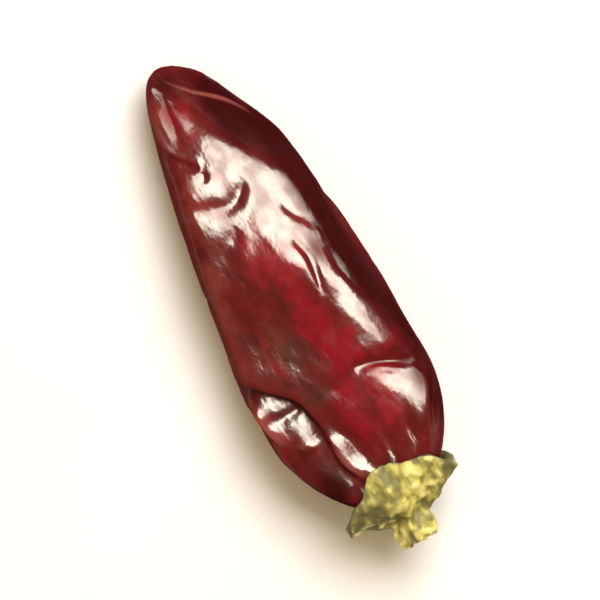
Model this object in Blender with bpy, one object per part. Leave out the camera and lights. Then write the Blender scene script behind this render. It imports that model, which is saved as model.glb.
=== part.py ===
# A dried chilli pepper: one whole pod lying on its side, with the green calyx that its stalk broke from.
# +X runs from the calyx to the tip, +Z is up, and the pod rests on a flat spot under its weight.
# Lengths are in millimetres until to_object turns them into metres. Angles in the tables are degrees,
# and an angle round the pod starts at the top and grows towards +Y.
import math
import random

import bpy
import numpy as np
from mathutils import Vector, noise

MM = 0.001

# Driving dimensions, with X measured from the seat of the calyx
POD_BASE = -1.6
POD_TIP = 42.2
WIDEST_AT = 10.0
HALF_WIDTH = 8.1
HALF_HEIGHT = 6.1
CALYX_RADIUS = 5.8
CALYX_FOOT = -0.45
CAP_START, LINING_START = 0.28, 0.12
CALYX_WALL = 0.7
CALYX_GAP = 0.25

# How many rings and sides each skin has
POD_RINGS, POD_SIDES = 62, 96
CALYX_SIDES, CAP_RINGS = 72, 9

# How blunt each end is: a power of the way along, then a power of what is left
TIP_BLUNT = (1.65, 0.46)
BASE_BLUNT = (2.0, 0.64)
SECTION_SQUARENESS = 2.5

# The middle line as the pod bends: (place along X, offset), across and then up
BEND_ACROSS = (
    (-6, 1.5), (-3, 1.0), (0, 0.5), (12, 0.25), (22, -0.9), (33, -1.65), (39, -1.55), (42.2, -1.1),
)
BEND_UP = (
    (-6, 7.1), (0, 6.6), (10, 5.95), (16, 5.7), (22, 5.4), (28, 5.0), (34, 4.6), (38, 4.35), (42.2, 4.0),
)

# Panels where the drying skin is drawn flat. Each is a plane through a point, facing that many degrees
# round the pod and leaning towards the tip. soft rounds its edge, sink hollows it, and until is the
# place along X where it stops.
PANELS = (
    {"at": (24, -0.8, 9.44), "round": 12, "lean": 1.5, "soft": 0.22, "sink": 0.06},
    {"at": (17.2, -3.3, 10.17), "round": -14, "lean": 7, "soft": 0.25, "sink": 0.04},
    {"at": (31, -0.8, 7.7), "round": -1, "lean": 14, "soft": 0.25, "sink": 0.04},
    {"at": (33, -3.0, 7.52), "round": -34, "lean": 27, "soft": 0.16, "sink": 0.15},
    {"at": (27, -4.6, 8.45), "round": -19, "lean": 11, "soft": 0.25, "sink": 0.04},
    {"at": (17, -6.1, 9.45), "round": -52, "lean": 5, "soft": 0.25, "sink": 0.06},
    {"at": (28, -6.6, 7.4), "round": -56, "lean": 8, "soft": 0.25, "sink": 0.06},
    {"at": (37, 2.4, 6.1), "round": 50, "lean": 20, "soft": 0.25, "sink": 0.15},
    {"at": (10.5, 0, 9.9), "round": 12, "lean": -1, "soft": 0.3, "sink": 0.10},
    {"at": (7.7, -4.0, 10.35), "round": -12, "lean": 11, "soft": 0.25, "sink": 0.0, "until": 10.7},
    {"at": (5, 5.4, 8.9), "round": 32, "lean": -4, "soft": 0.3, "sink": 0.10},
    {"at": (21, 7.15, 5.6), "round": 76, "lean": 8, "soft": 0.35, "sink": 0.10},
    {"at": (18, -8.2, 5.4), "round": -84, "lean": 2, "soft": 0.35, "sink": 0.10},
    {"at": (37.2, 0.2, 6.15), "round": -4, "lean": 23, "soft": 0.2, "sink": 0.05},
    {"at": (14, 5.6, 2.0), "round": 132, "lean": -4, "soft": 0.4, "sink": 0.15},
    {"at": (27, -5.9, 1.9), "round": -138, "lean": 8, "soft": 0.4, "sink": 0.15},
)
PANEL_END_SOFT = 0.35

# The noise that keeps the edges of panels from being ruled: about how far, and over what length
WAVER, WAVER_LENGTH = 0.5, 7.0

# Folds in the skin, as points (along X, across Y) seen from above or from below. steep is how much
# narrower a fold is to the left of its line than to the right. A fold of depth below 0 is a raised rib.
FOLDS_ABOVE = (
    {"through": ((2.2, 3.2), (5.5, 4.1), (9.4, 4.3)), "wide": 0.6, "deep": 0.5, "steep": 2.2},
    {"through": ((1.6, 1.9), (4.2, 2.9), (7.2, 3.8)), "wide": 0.9, "deep": -0.3, "steep": 1},
    {"through": ((3.2, 1.4), (6.0, 2.1), (9.2, 3.2)), "wide": 1.6, "deep": 0.4, "steep": 0.8},
    {"through": ((14.0, 8.0), (11.4, 7.5), (8.4, 6.6)), "wide": 1.0, "deep": -0.45, "steep": 0.7},
    {"through": ((8.4, 6.2), (7.6, 5.4), (6.8, 5.0)), "wide": 0.7, "deep": -0.35, "steep": 0.8},
    {"through": ((14.4, 7.6), (12.6, 6.5), (10.6, 5.1), (8.0, 4.2)),
     "wide": 1.6, "deep": 1.3, "steep": 0.45},
    {"through": ((13.6, 6.2), (13.3, 8.0)), "wide": 1.3, "deep": 0.3, "steep": 1},
    {"through": ((11.0, 7.4), (10.6, 6.3), (10.3, 5.2)), "wide": 0.5, "deep": 0.3, "steep": 1},
    {"through": ((10.4, 2.6), (10.6, 0.3), (10.6, -1.5), (11.1, -2.9)),
     "wide": 1.4, "deep": 0.15, "steep": 0.7},
    {"through": ((11.2, -1.6), (11.0, -3.2), (10.2, -5.1), (8.2, -6.9)),
     "wide": 0.9, "deep": 0.5, "steep": 0.7},
    {"through": ((9.6, -3.2), (8.6, -4.2), (8.2, -5.2)), "wide": 0.7, "deep": 0.14, "steep": 1},
    {"through": ((8.4, -6.1), (6.4, -5.8), (4.2, -4.7)), "wide": 0.45, "deep": -0.2, "steep": 1},
    {"through": ((3.2, -4.8), (5.2, -6.2), (7.6, -7.2)), "wide": 0.7, "deep": 0.4, "steep": 1},
    {"through": ((1.6, -0.4), (5.4, -0.9)), "wide": 0.8, "deep": 0.22, "steep": 1},
    {"through": ((1.5, -2.8), (5.0, -3.2)), "wide": 0.7, "deep": 0.3, "steep": 1},
    {"through": ((23.6, -2.7), (21.6, -3.3), (19.4, -3.2), (17.4, -2.6)),
     "wide": 0.7, "deep": 0.22, "steep": 1},
    {"through": ((21.4, -5.5), (19.2, -5.5), (17.2, -5.7), (15.4, -6.3)),
     "wide": 0.8, "deep": 0.26, "steep": 2.6},
    {"through": ((23.4, -6.2), (25.2, -4.6), (28.4, -4.0)), "wide": 1.3, "deep": 0.2, "steep": 0.8},
    {"through": ((22.0, 4.8), (25.5, 2.6), (26.6, 0.2)), "wide": 1.4, "deep": 0.15, "steep": 0.8},
    {"through": ((30.2, -2.2), (29.3, -1.6), (28.5, -0.1), (29.1, 2.0), (30.8, 3.3)),
     "wide": 0.9, "deep": 0.2, "steep": 0.8},
    {"through": ((32.4, 0.6), (31.4, 1.3)), "wide": 0.6, "deep": 0.18, "steep": 1},
    {"through": ((35.0, 3.0), (34.0, 2.0), (32.7, 0.6)), "wide": 0.7, "deep": 0.35, "steep": 0.8},
    {"through": ((40.8, 0.0), (38.1, 0.7), (35.4, 1.2)), "wide": 0.6, "deep": 0.25, "steep": 0.9},
    {"through": ((40.6, 1.1), (37.9, 2.0), (35.3, 2.3), (33.2, 0.6)),
     "wide": 0.45, "deep": -0.15, "steep": 1},
    {"through": ((41.8, -0.5), (39.1, -2.7), (37.0, -4.7), (34.4, -6.1)),
     "wide": 0.45, "deep": -0.35, "steep": 1},
    {"through": ((41.5, -1.9), (39.4, -3.6), (37.4, -5.2), (34.8, -6.5)),
     "wide": 0.6, "deep": 0.1, "steep": 1},
)
FOLDS_BELOW = (
    {"through": ((2.0, 3.0), (8, 4.9), (15, 5.3), (23, 4.2), (30, 2.4)),
     "wide": 1.2, "deep": 0.9, "steep": 0.7},
    {"through": ((2.5, -3.0), (8, -5.0), (14, -5.9), (20, -6.2)), "wide": 1.1, "deep": 0.8, "steep": 0.7},
    {"through": ((23, -5.6), (30, -5.6), (36, -4.0), (40.5, -1.8)), "wide": 1.1, "deep": 0.8, "steep": 0.7},
    {"through": ((33.0, -1.2), (37, -0.2), (41.4, -0.6)), "wide": 1.0, "deep": 0.6, "steep": 1},
    {"through": ((1.2, 0.2), (4, 0.8), (6.5, 0.3)), "wide": 1.0, "deep": 0.5, "steep": 1},
)

# The noise that lets folds stray from their lines
STRAY, STRAY_LENGTH = 0.45, 3.0

# The section of a fold: how high its lips stand, and how quickly it deepens from its ends
FOLD_LIP = 0.35
FOLD_DEEPENS = 0.6

# Where the noise for each direction is read, so that the three have nothing in common
APART = Vector((31.4, 17.2, 53.9))

# The half widths of the pod between which folds fade in from its ends
FOLDED_FROM, FOLDED_WHOLE = 0.72, 2.52

# Small folds strewn over both flanks: their seed, number, and the ranges that they are drawn from
SMALL_FOLD_SEED = 11
SMALL_FOLDS = 30
SMALL_FOLD_BANDS = ((80, 150), (214, 282))
SMALL_FOLD_PLACE = (2, 38)
SMALL_FOLD_LENGTH = (3.0, 8.0)
SMALL_FOLD_SLANT = 24
SMALL_FOLD_BOW = 0.15
SMALL_FOLD_DEEP = (0.2, 0.5)
SMALL_FOLD_WIDE = (0.6, 1.0)

# No place counts as thinner than this when lengths round it are turned into angles
LEAST_GIRTH = 2.0

# The calyx rim: degrees round the pod, how far it reaches along the pod, and how far it stands off, 0 to 1
CALYX_RIM = (
    (14, 2.9, 0.0),
    (52, 1.6, 0.25),
    (88, 1.1, 1.0),
    (125, 0.9, 0.3),
    (162, 1.9, 0.25),
    (198, 1.0, 0.1),
    (232, 1.8, 0.3),
    (266, 0.9, 0.35),
    (294, 1.0, 0.6),
    (318, 1.9, 0.12),
    (345, 2.1, 0.05),
)
CALYX_CORNERS = (14, 88, 162, 232, 296)
CORNER_WIDTH = 13

# The cap: how quickly it runs out to its rim, and the share of the way where it starts to stand off
CAP_RUN = 1.6
STANDS_FROM = 0.35
STANDS_BEND = 1.15

# The stub of the stalk, from its broken end to its neck: (place along X, radius)
STUB_HOLLOW = -4.3
STUB = ((-4.3, 0.6), (-4.65, 1.05), (-4.55, 1.45), (-4.2, 1.65), (-3.8, 1.72), (-3.35, 1.78))
NECK_PULL, CAP_PULL = 0.75, 0.8


def smooth(knots, x):
    """The value at x of a smooth curve through (place, value) knots."""
    places, values = np.array(knots, float).T
    slopes = np.gradient(values, places)
    i = np.clip(np.searchsorted(places, x) - 1, 0, len(places) - 2)
    span = places[i + 1] - places[i]
    t = np.clip((x - places[i]) / span, 0, 1)
    ease = t * t * (3 - 2 * t)
    bow = span * t * (1 - t) * ((1 - t) * slopes[i] - t * slopes[i + 1])
    return values[i] * (1 - ease) + values[i + 1] * ease + bow


def half_width(x):
    """Half the width of the plump tube at x, before the skin dries in."""
    ahead = np.clip((x - WIDEST_AT) / (POD_TIP - WIDEST_AT), 0, 1)
    behind = np.clip((WIDEST_AT - x) / (WIDEST_AT - POD_BASE), 0, 1)
    tip = (1 - ahead ** TIP_BLUNT[0]) ** TIP_BLUNT[1]
    base = (1 - behind ** BASE_BLUNT[0]) ** BASE_BLUNT[1]
    return HALF_WIDTH * tip * base


def middle(x):
    """The point on the middle line at x."""
    return np.stack([x, smooth(BEND_ACROSS, x), smooth(BEND_UP, x)], axis=-1)


def outward(around):
    """The direction away from the middle line at an angle round the pod."""
    return np.stack([0 * around, np.sin(around), np.cos(around)], axis=-1)


def tube(x, around):
    """The plump tube: a squarish oval section swept along the middle line."""
    power = SECTION_SQUARENESS
    wide, high = np.abs(np.sin(around)), np.abs(np.cos(around)) * HALF_WIDTH / HALF_HEIGHT
    reach = (wide ** power + high ** power) ** (-1 / power)
    return middle(x) + (half_width(x) * reach)[..., None] * outward(around)


def drift(points, amount, length):
    """A smooth noise that moves points by about the amount, over the length given."""
    moved = []
    for point in points.reshape(-1, 3):
        place = Vector(point) / length
        moved.append([noise.noise(place), noise.noise(place.yzx + APART), noise.noise(place.zxy - APART)])
    return amount * np.array(moved).reshape(points.shape)


def press_panels(points):
    """Draws the skin in to each panel's plane, with a waver so that no panel has a ruled edge."""
    waver = drift(points, WAVER, WAVER_LENGTH)
    for panel in PANELS:
        lean, around = math.radians(panel["lean"]), math.radians(panel["round"])
        normal = math.cos(lean) * outward(np.array(around)) + np.array([math.sin(lean), 0, 0])
        proud = (points + waver - np.array(panel["at"])) @ normal
        pressed = panel["soft"] * np.logaddexp(0, proud / panel["soft"])
        if "until" in panel:
            pressed /= 1 + np.exp((points[..., 0] - panel["until"]) / PANEL_END_SOFT)
        points = points - (pressed * (1 + panel["sink"]))[..., None] * normal
    return points


def place_of(x, y, below):
    """The place along X and angle round the pod of a point seen at (x, y) from above or from below."""
    angles = np.linspace(-math.pi / 2, math.pi / 2, 181)
    if below:
        angles = math.pi - angles
    seen = press_panels(tube(np.full(angles.shape, float(x)), angles))
    drawn_along = float(np.interp(y, seen[:, 1], seen[:, 0]))
    return 2 * x - drawn_along, float(np.interp(y, seen[:, 1], angles))


def small_folds():
    """Short folds, mostly along the pod, in (along X, angle round) form."""
    draw = random.Random(SMALL_FOLD_SEED)
    folds = []
    for number in range(SMALL_FOLDS):
        band = SMALL_FOLD_BANDS[number % 2]
        x, around = draw.uniform(*SMALL_FOLD_PLACE), math.radians(draw.uniform(*band))
        length, slant = draw.uniform(*SMALL_FOLD_LENGTH), math.radians(draw.gauss(0, SMALL_FOLD_SLANT))
        girth = max(float(half_width(x)), LEAST_GIRTH)
        half = (length / 2 * math.cos(slant), length / 2 * math.sin(slant) / girth)
        bow = draw.uniform(-SMALL_FOLD_BOW, SMALL_FOLD_BOW)
        line = ((x - half[0], around - half[1]), (x, around + bow), (x + half[0], around + half[1]))
        deep, wide = draw.uniform(*SMALL_FOLD_DEEP), draw.uniform(*SMALL_FOLD_WIDE)
        folds.append({"line": line, "wide": wide, "deep": deep, "steep": draw.uniform(0.5, 1)})
    return folds


def all_folds():
    folds = small_folds()
    for group, below in ((FOLDS_ABOVE, False), (FOLDS_BELOW, True)):
        for fold in group:
            folds.append(dict(fold, line=[place_of(x, y, below) for x, y in fold["through"]]))
    return folds


def rounded_line(line):
    """A line of (along X, angle round) points made smooth."""
    count = len(line)
    steps = np.linspace(0, count - 1, 6 * (count - 1) + 1)
    return np.stack([smooth([(i, p[k]) for i, p in enumerate(line)], steps) for k in (0, 1)], axis=1)


def way_to_line(line, x, around):
    """How far points of the skin are to the left of a line on it, and the share of the line passed."""
    girth = np.maximum(half_width(x), 0.5)
    nearest, along = np.full(x.shape, np.inf), np.zeros(x.shape)
    for k, (start, step) in enumerate(zip(line[:-1], np.diff(line, axis=0))):
        turn = np.mod(around - start[1] + math.pi, 2 * math.pi) - math.pi
        run_x, run_round = step[0], girth * step[1]
        share = ((x - start[0]) * run_x + girth * turn * run_round) / (run_x ** 2 + run_round ** 2 + 1e-9)
        share = np.clip(share, 0, 1)
        off_x, off_round = x - start[0] - share * run_x, girth * turn - share * run_round
        side = np.where(run_x * off_round > run_round * off_x, 1, -1)
        away = np.hypot(off_x, off_round)
        closer = away < np.abs(nearest)
        along = np.where(closer, (k + share) / (len(line) - 1), along)
        nearest = np.where(closer, side * away, nearest)
    return nearest, along


def press_folds(points, x, around):
    """Sinks a valley with raised lips along each fold, fading at its ends."""
    stray = drift(points, STRAY, STRAY_LENGTH)
    x, around = x + stray[..., 0], around + stray[..., 1] / np.maximum(half_width(x), LEAST_GIRTH)
    ends = np.clip((half_width(x) - FOLDED_FROM) / (FOLDED_WHOLE - FOLDED_FROM), 0, 1)
    inward = middle(x) - points
    inward /= np.maximum(np.linalg.norm(inward, axis=-1, keepdims=True), 1e-6)
    for fold in all_folds():
        line = rounded_line(fold["line"])
        reach = 3 * fold["wide"]
        near = (x > line[:, 0].min() - reach) & (x < line[:, 0].max() + reach)
        away, along = way_to_line(line, x[near], around[near])
        q = away / (fold["wide"] * np.where(away > 0, fold["steep"], 1))
        fade = np.sin(math.pi * np.clip(along, 0.02, 0.98)) ** FOLD_DEEPENS
        valley = fold["deep"] * fade * ends[near] * (1 - FOLD_LIP * q * q) * np.exp(-q * q)
        points[near] += valley[:, None] * inward[near]
    return points


def skin(x, around, folded=True):
    """Points of the dried skin at places along X and angles round the pod, with or without its folds."""
    x, around = np.broadcast_arrays(np.asarray(x, float), np.asarray(around, float))
    points = press_panels(tube(x, around))
    if folded:
        points = press_folds(points, x, around)
    points[..., 2] = np.maximum(points[..., 2], 0)
    return points


def skin_normal(x, around, step=0.02):
    """The direction out of the skin before it folds."""
    girth = np.maximum(half_width(x), 0.5)
    along = skin(x + step, around, False) - skin(x - step, around, False)
    across = skin(x, around + step / girth, False) - skin(x, around - step / girth, False)
    normal = np.cross(along, across)
    return normal / np.linalg.norm(normal, axis=-1, keepdims=True)


def closed_skin(start, rings, end):
    """Vertices and faces of a closed skin: rings of points between a first and a last point."""
    count, sides = rings.shape[:2]
    vertices = np.concatenate([[start], rings.reshape(-1, 3), [end]])
    last, low = len(vertices) - 1, 1 + (count - 1) * sides
    faces = [(0, 1 + j, 1 + (j + 1) % sides) for j in range(sides)]
    for i in range(count - 1):
        a, b = 1 + i * sides, 1 + (i + 1) * sides
        faces += [(a + j, b + j, b + (j + 1) % sides, a + (j + 1) % sides) for j in range(sides)]
    faces += [(last, low + (j + 1) % sides, low + j) for j in range(sides)]
    return vertices, faces


def pod(rings=POD_RINGS, sides=POD_SIDES):
    """The pod's skin, with rings closer together towards both ends."""
    around = np.linspace(0, 2 * math.pi, sides, endpoint=False)
    way = (1 - np.cos(np.linspace(0, math.pi, rings + 2))) / 2
    x = POD_BASE + (POD_TIP - POD_BASE) * way
    points = skin(x[:, None], around[None, :])
    return closed_skin(points[0].mean(axis=0), points[1:-1], points[-1].mean(axis=0))


def rim_value(around, column):
    """One column of the calyx rim's table at angles round the pod."""
    knots = [(row[0] + turn, row[column]) for turn in (-360, 0, 360) for row in CALYX_RIM]
    return smooth(knots, np.degrees(around) % 360)


def corner_rib(around):
    """1 on the ribs that run to the calyx's corners, and 0 between them."""
    rib = 0 * around
    for corner in CALYX_CORNERS:
        turn = np.mod(np.degrees(around) - corner + 180, 360) - 180
        rib = rib + np.exp(-((turn / CORNER_WIDTH) ** 2))
    return rib


def calyx_layer(around, way, thick):
    """A ring of the cap at a share of the way to its rim, that thick outside the gap to the pod."""
    reach, stand = rim_value(around, 1), rim_value(around, 2)
    x = POD_BASE + (reach - POD_BASE) * way ** CAP_RUN
    lying = skin(x, around, False) + (CALYX_GAP + thick)[:, None] * skin_normal(x, around)
    foot = middle(np.array(CALYX_FOOT))
    standing = foot - np.array([1, 0, 0]) * thick[:, None] + CALYX_RADIUS * outward(around)
    away = stand * max(0, (way - STANDS_FROM) / (1 - STANDS_FROM)) ** STANDS_BEND
    return lying + away[:, None] * (standing - lying)


def calyx(sides=CALYX_SIDES):
    """The calyx: a ribbed stub of the stalk that flares into a thin five-cornered cap on the pod's base."""
    around = np.linspace(0, 2 * math.pi, sides, endpoint=False)
    rib = corner_rib(around)
    rings = []
    for x, radius in STUB:
        rings.append(middle(np.array(x)) + (radius * (0.9 + 0.2 * rib))[:, None] * outward(around))
    neck = rings[-1]
    ways = np.linspace(CAP_START, 1, CAP_RINGS)
    cap = [calyx_layer(around, way, CALYX_WALL * (1.1 - 0.2 * way + rib * (1 - 0.55 * way))) for way in ways]
    below_neck = neck + np.array([NECK_PULL, 0, 0])
    above_cap = cap[0] - CAP_PULL * (cap[1] - cap[0])
    for t in (0.25, 0.5, 0.75):
        flare = (1 - t) ** 3 * neck + 3 * t * (1 - t) ** 2 * below_neck
        rings.append(flare + 3 * t * t * (1 - t) * above_cap + t ** 3 * cap[0])
    rings += cap
    ways = np.linspace(1, LINING_START, CAP_RINGS)
    lining = [calyx_layer(around, way, 0 * around) for way in ways]
    start = middle(np.array(STUB_HOLLOW))
    end = middle(np.array(POD_BASE - CALYX_GAP))
    return closed_skin(start, np.array(rings + lining), end)


def material(name, colour, roughness):
    made = bpy.data.materials.new(name)
    made.use_nodes = True
    finish = made.node_tree.nodes["Principled BSDF"]
    finish.inputs["Base Color"].default_value = (*colour, 1)
    finish.inputs["Roughness"].default_value = roughness
    finish.inputs["Metallic"].default_value = 0
    return made


def to_object(name, vertices, faces, finish):
    mesh = bpy.data.meshes.new(name)
    mesh.from_pydata((vertices * MM).tolist(), [], faces)
    mesh.shade_smooth()
    mesh.materials.append(finish)
    made = bpy.data.objects.new(name, mesh)
    bpy.context.scene.collection.objects.link(made)
    return made


def main():
    for old in list(bpy.data.objects):
        bpy.data.objects.remove(old)
    pieces = {
        "pod": (pod(), material("dried_skin", (0.17, 0.015, 0.014), 0.25)),
        "calyx": (calyx(), material("dry_green", (0.42, 0.33, 0.09), 0.8)),
    }
    # The origin is under the middle of the whole pepper, on the surface that it lies on.
    everything = np.concatenate([vertices for (vertices, _), _ in pieces.values()])
    low, high = everything.min(axis=0), everything.max(axis=0)
    origin = np.array([(low[0] + high[0]) / 2, (low[1] + high[1]) / 2, low[2]])
    for name, ((vertices, faces), finish) in pieces.items():
        to_object(name, vertices - origin, faces, finish)


main()
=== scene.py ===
import math
import random

import bpy
import numpy as np
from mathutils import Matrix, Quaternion, Vector, noise


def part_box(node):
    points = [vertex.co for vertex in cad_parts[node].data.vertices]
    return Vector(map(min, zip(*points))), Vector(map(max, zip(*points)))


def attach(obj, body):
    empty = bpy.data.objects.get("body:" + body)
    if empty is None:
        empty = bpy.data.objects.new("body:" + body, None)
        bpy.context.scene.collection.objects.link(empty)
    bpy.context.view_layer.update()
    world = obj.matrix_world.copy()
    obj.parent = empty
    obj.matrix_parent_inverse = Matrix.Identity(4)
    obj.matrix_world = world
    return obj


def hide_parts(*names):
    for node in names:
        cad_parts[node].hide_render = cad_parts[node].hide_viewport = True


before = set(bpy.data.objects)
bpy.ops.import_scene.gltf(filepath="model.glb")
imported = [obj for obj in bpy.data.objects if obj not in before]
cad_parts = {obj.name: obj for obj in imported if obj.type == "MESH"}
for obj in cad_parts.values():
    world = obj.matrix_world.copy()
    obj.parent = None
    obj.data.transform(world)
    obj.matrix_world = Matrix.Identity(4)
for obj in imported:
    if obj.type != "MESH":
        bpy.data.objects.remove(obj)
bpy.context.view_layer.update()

# One dried chilli on its side. Shapes are worked out in millimetres, with x from the seat of the calyx
# to the tip, and angles round the pod start at the top and grow towards +Y.
mm = 0.001
tiny = 1e-9  # keeps a share or a direction from being divided by nothing

podShape = {
    "baseAt": -1.6,
    "tipAt": 42.2,
    "widestAt": 10.0,
    "halfWidth": 8.1,
    "halfHeight": 6.1,
    "tipBlunt": (1.65, 0.46),    # a power of the way to that end, then a power of what is left
    "baseBlunt": (2.0, 0.64),
    "squareness": 2.5,           # 2 gives an oval section, and more a squarer one
    # the middle line as the pod bends: (place along, offset)
    "bendAcross": ((-6, 1.5), (-3, 1.0), (0, 0.5), (12, 0.25), (22, -0.9), (33, -1.65), (39, -1.55),
                   (42.2, -1.1)),
    "bendUp": ((-6, 7.1), (0, 6.6), (10, 5.95), (16, 5.7), (22, 5.4), (28, 5.0), (34, 4.6), (38, 4.35),
               (42.2, 4.0)),
    "thinnest": 0.5,             # the least half width that lengths round the pod are measured with
    "ringsAlong": 340,
    "sidesRound": 280,
    "crowding": 0.45,            # how much closer the rings are at both ends
}

# Where the skin has dried flat: a point on each panel, which way round it faces, and its lean to the tip.
# soft rounds its edge, sink hollows it, and until is the place along where it stops.
podPanels = {
    "flats": (
        {"at": (24, -0.8, 9.44), "round": 12, "lean": 1.5, "soft": 0.22, "sink": 0.06},
        {"at": (17.2, -3.3, 9.95), "round": -12, "lean": 6, "soft": 0.25, "sink": 0.04},
        {"at": (31, -0.8, 7.7), "round": -1, "lean": 14, "soft": 0.25, "sink": 0.04},
        {"at": (33, -3.0, 7.52), "round": -34, "lean": 27, "soft": 0.16, "sink": 0.15},
        {"at": (27, -4.6, 8.45), "round": -19, "lean": 11, "soft": 0.25, "sink": 0.04},
        {"at": (17, -6.1, 9.45), "round": -52, "lean": 5, "soft": 0.25, "sink": 0.06},
        {"at": (28, -6.6, 7.4), "round": -56, "lean": 8, "soft": 0.25, "sink": 0.06},
        {"at": (37, 2.4, 6.1), "round": 50, "lean": 20, "soft": 0.25, "sink": 0.15},
        {"at": (10.5, 0, 9.9), "round": 12, "lean": -1, "soft": 0.3, "sink": 0.10},
        {"at": (7.7, -4.0, 10.35), "round": -12, "lean": 11, "soft": 0.25, "sink": 0.0, "until": 10.7},
        {"at": (5, 5.4, 8.9), "round": 32, "lean": -4, "soft": 0.3, "sink": 0.10},
        {"at": (21, 7.15, 5.6), "round": 76, "lean": 8, "soft": 0.35, "sink": 0.10},
        {"at": (18, -8.2, 5.4), "round": -84, "lean": 2, "soft": 0.35, "sink": 0.10},
        {"at": (37.2, 0.2, 6.15), "round": -4, "lean": 23, "soft": 0.2, "sink": 0.05},
        {"at": (14, 5.6, 2.0), "round": 132, "lean": -4, "soft": 0.4, "sink": 0.15},
        {"at": (27, -5.9, 1.9), "round": -138, "lean": 8, "soft": 0.4, "sink": 0.15},
    ),
    "waver": 0.5,           # how far the edges of panels stray, and over what length
    "waverLength": 7.0,
    "endSoft": 0.35,        # over what length a panel with until fades out
}

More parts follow.
